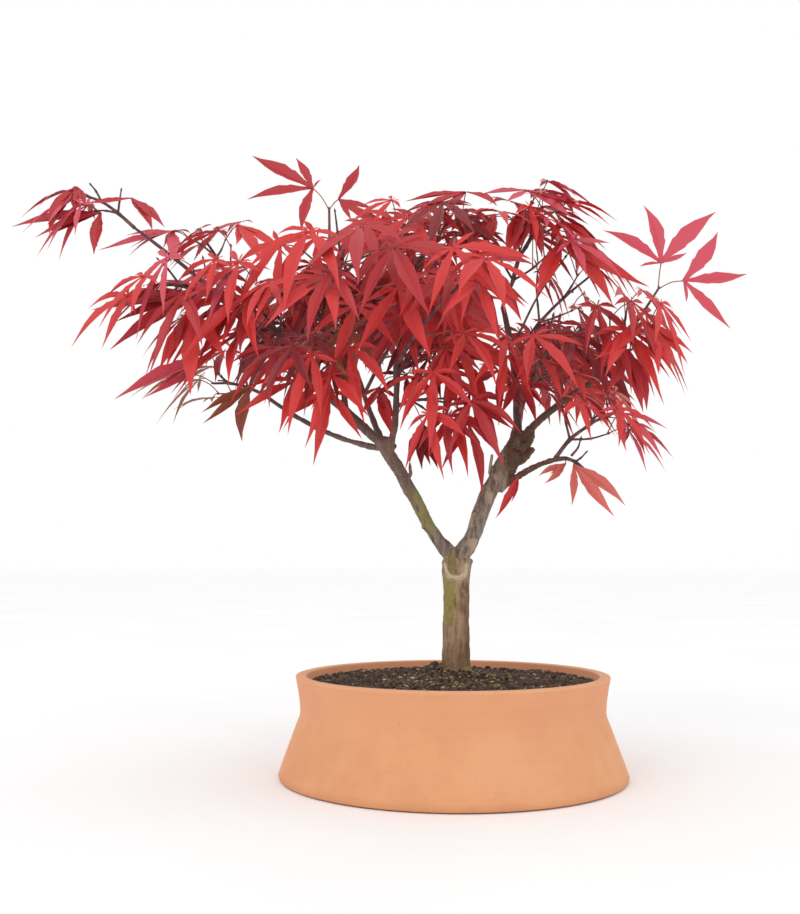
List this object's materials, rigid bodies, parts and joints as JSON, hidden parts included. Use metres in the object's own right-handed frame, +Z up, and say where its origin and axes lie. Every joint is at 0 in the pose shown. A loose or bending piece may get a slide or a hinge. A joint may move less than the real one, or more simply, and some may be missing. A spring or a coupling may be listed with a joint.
{
  "type": "potted japanese maple bonsai",
  "caption": "Small red-leaved japanese maple trained as a bonsai, with a forked trunk, in a round waisted terracotta pot of dark soil.",
  "frame": {"origin": "centre of the pot's flat underside, at the height it stands on", "axes": "+Z up; +X to the right seen from the front, along the crown's long direction; +Y to the back"},
  "size_m": [0.5933, 0.3664, 0.5272],
  "materials": {
    "terracotta": "matt unglazed terracotta",
    "soil": "loose dark potting soil with light grit",
    "bark": "brown-grey bark with moss-green patches",
    "leaves": "thin crimson leaves with a soft sheen"
  },
  "bodies": {
    "root": {"pot": "terracotta", "soil": "soil", "trunk": "bark", "left_bough": "bark", "left_inner_limb": "bark", "left_leader": "bark", "left_low_limb": "bark", "left_tip_limb": "bark", "left_upright": "bark", "middle_upright": "bark", "rear_left_limb": "bark", "rear_right_limb": "bark", "right_bough": "bark", "right_low": "bark", "right_side": "bark", "right_upright": "bark", "crown_left_leaves": "leaves", "crown_right_leaves": "leaves", "far_left_leaves": "leaves", "front_leaves": "leaves", "front_left_leaves": "leaves", "inner_left_leaves": "leaves", "left_leaves": "leaves", "low_left_leaves": "leaves", "low_middle_leaves": "leaves", "low_right_sprig": "leaves", "lower_right_leaves": "leaves", "middle_leaves": "leaves", "middle_right_leaves": "leaves", "rear_leaves": "leaves", "rear_left_leaves": "leaves", "rear_right_leaves": "leaves", "right_hanging_leaves": "leaves", "right_leaves": "leaves", "right_sprig": "leaves", "shoulder_leaves": "leaves", "top_left_sprig": "leaves", "upper_left_leaves": "leaves"}
  },
  "joints": []
}
